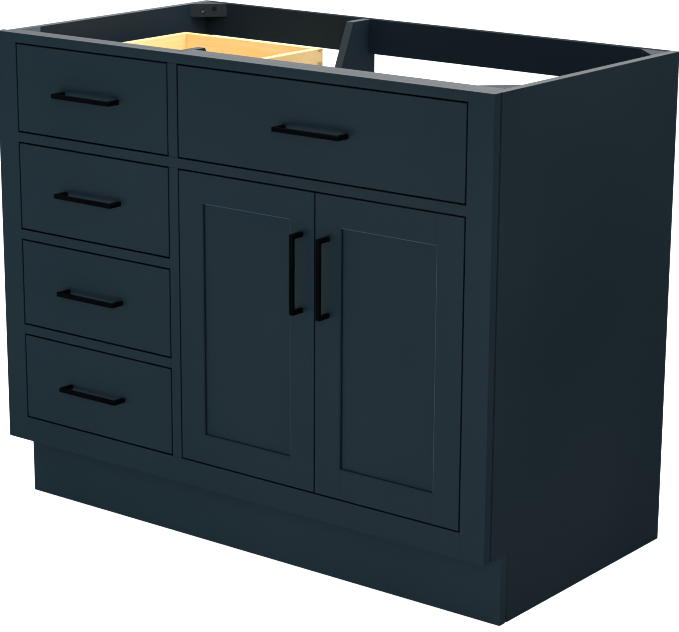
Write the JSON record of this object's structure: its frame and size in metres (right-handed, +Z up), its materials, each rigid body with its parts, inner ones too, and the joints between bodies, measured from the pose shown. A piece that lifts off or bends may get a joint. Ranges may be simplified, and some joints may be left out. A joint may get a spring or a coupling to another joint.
{
  "type": "bathroom vanity cabinet",
  "caption": "Face-frame bathroom vanity base cabinet with inset drawers beside a cupboard with panelled doors under a fixed false front, open at the top for a basin, on a recessed toe kick.",
  "frame": {"origin": "bottom centre of the whole part, on the floor, halfway between the pulls' outer faces and the back edge", "axes": "+X to the right seen from the front, +Y back towards the wall, +Z up"},
  "size_m": [1.067, 0.587, 0.876],
  "materials": {
    "front_paint": "satin dark blue paint on hardwood and MDF",
    "carcass_paint": "satin dark blue paint on plywood",
    "birch": "clear satin lacquer on birch",
    "black_metal": "matte black powder coat",
    "zinc_steel": "bright zinc plate"
  },
  "bodies": {
    "root": {"side_panel_left": "front_paint", "side_panel_right": "front_paint", "partition_panel": "carcass_paint", "floor_panel": "carcass_paint", "floor_support_rail": "carcass_paint", "back_top_rail": "carcass_paint", "back_bottom_rail": "carcass_paint", "toe_kick_board": "front_paint", "stile_left": "front_paint", "stile_right": "front_paint", "top_rail": "front_paint", "mid_rail": "front_paint", "drawer_rails": "front_paint", "bottom_rail": "front_paint", "mullion_upper": "front_paint", "mullion_lower": "front_paint", "front_battens": "carcass_paint", "corner_blocks": "carcass_paint", "corner_block_screws": "zinc_steel", "slide_spacers": "carcass_paint", "slide_outer_members": "zinc_steel", "hinge_blocks": "carcass_paint", "hinge_arms": "zinc_steel", "false_front": "front_paint", "false_front_plates": "zinc_steel", "false_front_pull": "black_metal"},
    "door_left": {"door_left_stiles": "front_paint", "door_left_rails": "front_paint", "door_left_panel": "front_paint", "door_left_pull": "black_metal", "door_left_hinge_cups": "zinc_steel"},
    "door_right": {"door_right_stiles": "front_paint", "door_right_rails": "front_paint", "door_right_panel": "front_paint", "door_right_pull": "black_metal", "door_right_hinge_cups": "zinc_steel"},
    "drawer_1": {"drawer_1_front": "front_paint", "drawer_1_box": "birch", "drawer_1_bottom": "birch", "drawer_1_pull": "black_metal", "drawer_1_slide_inner": "zinc_steel"},
    "slide_1": {"drawer_1_slide_middle": "zinc_steel"},
    "drawer_2": {"drawer_2_front": "front_paint", "drawer_2_box": "birch", "drawer_2_bottom": "birch", "drawer_2_pull": "black_metal", "drawer_2_slide_inner": "zinc_steel"},
    "slide_2": {"drawer_2_slide_middle": "zinc_steel"},
    "drawer_3": {"drawer_3_front": "front_paint", "drawer_3_box": "birch", "drawer_3_bottom": "birch", "drawer_3_pull": "black_metal", "drawer_3_slide_inner": "zinc_steel"},
    "slide_3": {"drawer_3_slide_middle": "zinc_steel"},
    "drawer_4": {"drawer_4_front": "front_paint", "drawer_4_box": "birch", "drawer_4_bottom": "birch", "drawer_4_pull": "black_metal", "drawer_4_slide_inner": "zinc_steel"},
    "slide_4": {"drawer_4_slide_middle": "zinc_steel"}
  },
  "joints": [
    {"name": "drawer_1_travel", "type": "slide", "parent": "root", "child": "drawer_1", "axis": [0, -1, 0], "range_m": [0, 0.38]},
    {"name": "slide_1_travel", "type": "slide", "parent": "root", "child": "slide_1", "axis": [0, -1, 0], "range_m": [0, 0.19]},
    {"name": "drawer_2_travel", "type": "slide", "parent": "root", "child": "drawer_2", "axis": [0, -1, 0], "range_m": [0, 0.38]},
    {"name": "slide_2_travel", "type": "slide", "parent": "root", "child": "slide_2", "axis": [0, -1, 0], "range_m": [0, 0.19]},
    {"name": "drawer_3_travel", "type": "slide", "parent": "root", "child": "drawer_3", "axis": [0, -1, 0], "range_m": [0, 0.38]},
    {"name": "slide_3_travel", "type": "slide", "parent": "root", "child": "slide_3", "axis": [0, -1, 0], "range_m": [0, 0.19]},
    {"name": "drawer_4_travel", "type": "slide", "parent": "root", "child": "drawer_4", "axis": [0, -1, 0], "range_m": [0, 0.38]},
    {"name": "slide_4_travel", "type": "slide", "parent": "root", "child": "slide_4", "axis": [0, -1, 0], "range_m": [0, 0.19]},
    {"name": "door_left_swing", "type": "hinge", "parent": "root", "child": "door_left", "pos_m": [-0.0907, -0.2615, 0.4225], "axis": [0, 0, -1], "range_deg": [0, 90]},
    {"name": "door_right_swing", "type": "hinge", "parent": "root", "child": "door_right", "pos_m": [0.4707, -0.2615, 0.4225], "axis": [0, 0, 1], "range_deg": [0, 105]}
  ],
  "couplings": [
    {"joint": "slide_1_travel", "follows": "drawer_1_travel", "ratio": 0.5},
    {"joint": "slide_2_travel", "follows": "drawer_2_travel", "ratio": 0.5},
    {"joint": "slide_3_travel", "follows": "drawer_3_travel", "ratio": 0.5},
    {"joint": "slide_4_travel", "follows": "drawer_4_travel", "ratio": 0.5}
  ]
}
